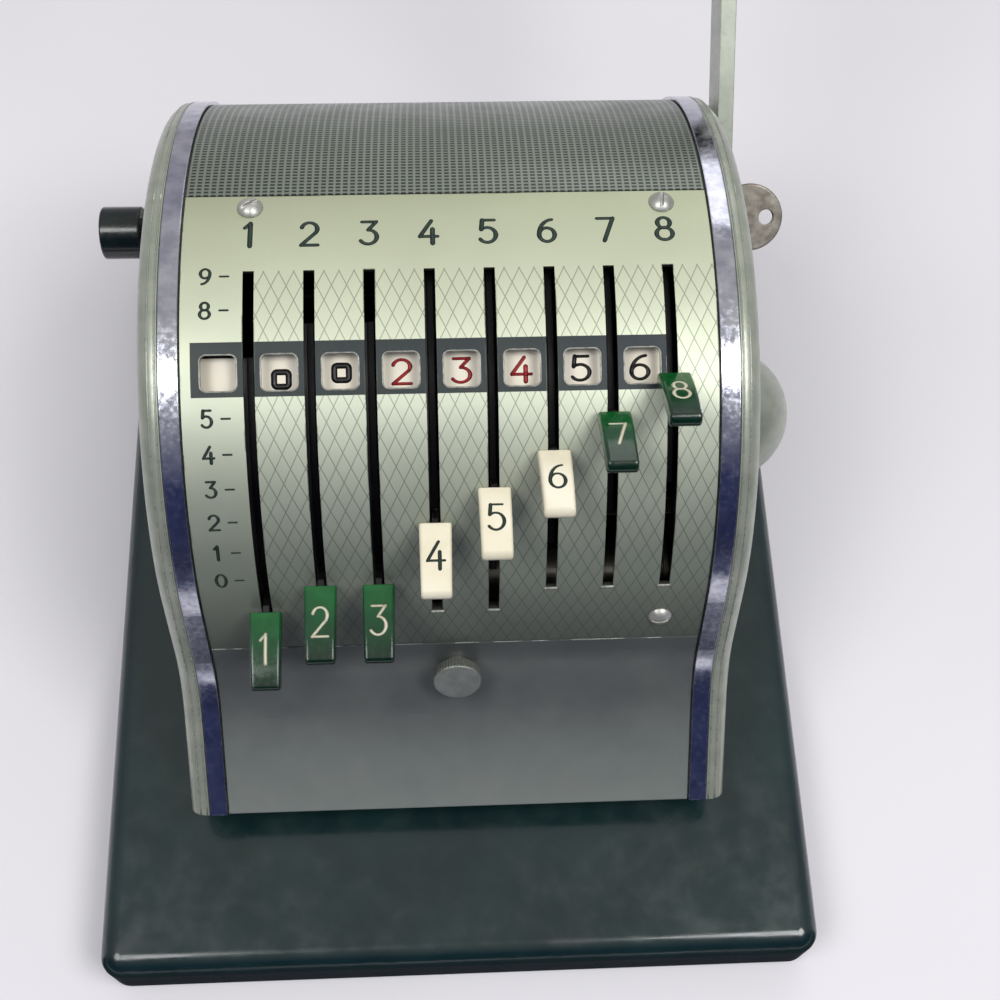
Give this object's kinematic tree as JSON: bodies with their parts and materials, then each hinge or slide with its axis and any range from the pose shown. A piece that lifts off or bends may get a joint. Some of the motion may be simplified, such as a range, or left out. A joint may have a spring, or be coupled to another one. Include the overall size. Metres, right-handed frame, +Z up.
{
  "type": "desk check writer",
  "caption": "Desk check writer: setting levers with tab keys in a curved slotted face, number windows, and a side handle that presses the check on inked type.",
  "frame": {"origin": "on the desk, at the centre of the bounding box's bottom face, straight below the lever shaft", "axes": "+X to the machine's right along the lever shaft, +Y to the back, +Z up"},
  "size_m": [0.2066, 0.3145, 0.1956],
  "materials": {
    "base_enamel": "gloss enamel, dark green",
    "body_enamel": "hammertone enamel, grey-green",
    "cover_enamel": "satin enamel, grey-green",
    "face_enamel": "satin enamel, pale olive green",
    "apron_enamel": "metallic enamel, dark grey-green",
    "bright_trim": "polished, slightly pitted",
    "nickel": "worn nickel plating",
    "plain_steel": "satin",
    "green_plastic": "gloss, dark green",
    "ivory_plastic": "satin, ivory",
    "cream_plastic": "matte, cream",
    "ribbon_cloth": "inked cloth",
    "platen_rubber": "hard rubber",
    "foot_rubber": "matte"
  },
  "bodies": {
    "machine": {"base_pan": "base_enamel", "base_bottom_plate": "plain_steel", "rubber_feet": "foot_rubber", "left_side_panel": "body_enamel", "right_side_panel": "body_enamel", "left_trim_strip": "bright_trim", "right_trim_strip": "bright_trim", "top_cover": "cover_enamel", "rear_cover": "body_enamel", "face_plate": "face_enamel", "apron_panel": "apron_enamel", "check_guide": "plain_steel", "cover_rails": "plain_steel", "face_screws": "nickel", "side_screws": "nickel", "left_frame_plate": "plain_steel", "right_frame_plate": "plain_steel", "cross_rods": "plain_steel", "lever_shaft": "plain_steel", "lever_spacers": "plain_steel", "detent_comb": "plain_steel", "ribbon": "ribbon_cloth", "return_spring": "plain_steel", "lock_body": "nickel"},
    "lever_1": {"lever_1": "plain_steel", "number_band_1": "cream_plastic", "key_cap_1": "green_plastic"},
    "lever_2": {"lever_2": "plain_steel", "number_band_2": "cream_plastic", "key_cap_2": "green_plastic"},
    "lever_3": {"lever_3": "plain_steel", "number_band_3": "cream_plastic", "key_cap_3": "green_plastic"},
    "lever_4": {"lever_4": "plain_steel", "number_band_4": "cream_plastic", "key_cap_4": "ivory_plastic"},
    "lever_5": {"lever_5": "plain_steel", "number_band_5": "cream_plastic", "key_cap_5": "ivory_plastic"},
    "lever_6": {"lever_6": "plain_steel", "number_band_6": "cream_plastic", "key_cap_6": "ivory_plastic"},
    "lever_7": {"lever_7": "plain_steel", "number_band_7": "cream_plastic", "key_cap_7": "green_plastic"},
    "lever_8": {"lever_8": "plain_steel", "number_band_8": "cream_plastic", "key_cap_8": "green_plastic"},
    "handle": {"handle_arm": "body_enamel", "handle_hub": "body_enamel", "handle_grip": "green_plastic", "handle_shaft": "plain_steel"},
    "lifter": {"platen_lifter": "plain_steel", "platen": "platen_rubber"},
    "rear_spool": {"rear_ribbon_spool": "plain_steel", "ribbon_knob": "green_plastic"},
    "front_spool": {"front_ribbon_spool": "plain_steel"},
    "lock_key": {"lock_plug": "nickel", "key": "nickel"},
    "thumb_screw": {"thumb_screw": "nickel"}
  },
  "joints": [
    {"name": "lever_1_swing", "type": "hinge", "parent": "machine", "child": "lever_1", "pos_m": [0, 0, 0.072], "axis": [-1, 0, 0], "range_deg": [0, 61.9]},
    {"name": "lever_2_swing", "type": "hinge", "parent": "machine", "child": "lever_2", "pos_m": [0, 0, 0.072], "axis": [-1, 0, 0], "range_deg": [-6.19, 55.71]},
    {"name": "lever_3_swing", "type": "hinge", "parent": "machine", "child": "lever_3", "pos_m": [0, 0, 0.072], "axis": [-1, 0, 0], "range_deg": [-6.19, 55.71]},
    {"name": "lever_4_swing", "type": "hinge", "parent": "machine", "child": "lever_4", "pos_m": [0, 0, 0.072], "axis": [-1, 0, 0], "range_deg": [-18.57, 43.33]},
    {"name": "lever_5_swing", "type": "hinge", "parent": "machine", "child": "lever_5", "pos_m": [0, 0, 0.072], "axis": [-1, 0, 0], "range_deg": [-24.76, 37.14]},
    {"name": "lever_6_swing", "type": "hinge", "parent": "machine", "child": "lever_6", "pos_m": [0, 0, 0.072], "axis": [-1, 0, 0], "range_deg": [-24.76, 30.95]},
    {"name": "lever_7_swing", "type": "hinge", "parent": "machine", "child": "lever_7", "pos_m": [0, 0, 0.072], "axis": [-1, 0, 0], "range_deg": [-30.95, 24.76]},
    {"name": "lever_8_swing", "type": "hinge", "parent": "machine", "child": "lever_8", "pos_m": [0, 0, 0.072], "axis": [-1, 0, 0], "range_deg": [-37.14, 18.57]},
    {"name": "handle_pull", "type": "hinge", "parent": "machine", "child": "handle", "pos_m": [0.08, -0.0046, 0.0646], "axis": [1, 0, 0], "range_deg": [0, 75]},
    {"name": "platen_lift", "type": "slide", "parent": "machine", "child": "lifter", "axis": [0, 0, 1], "range_m": [0, 0.00651], "stiffness_N_per_m": 1500, "springref_m": -0.008, "deforming": ["return_spring"]},
    {"name": "ribbon_wind", "type": "hinge", "parent": "machine", "child": "rear_spool", "pos_m": [0, 0.0293, 0.1149], "axis": [1, 0, 0], "continuous": true},
    {"name": "ribbon_feed", "type": "hinge", "parent": "machine", "child": "front_spool", "pos_m": [0, -0.054, 0.066], "axis": [1, 0, 0], "continuous": true},
    {"name": "key_turn", "type": "hinge", "parent": "machine", "child": "lock_key", "pos_m": [0.08, 0.0514, 0.0855], "axis": [1, 0, 0], "range_deg": [0, 90]},
    {"name": "thumb_turn", "type": "hinge", "parent": "machine", "child": "thumb_screw", "pos_m": [0, -0.08354, 0.07694], "axis": [0, -0.9026, 0.4305], "continuous": true}
  ],
  "couplings": [
    {"joint": "platen_lift", "follows": "handle_pull", "m_per_rad": 0.0049656},
    {"joint": "ribbon_feed", "follows": "ribbon_wind", "ratio": 1}
  ]
}
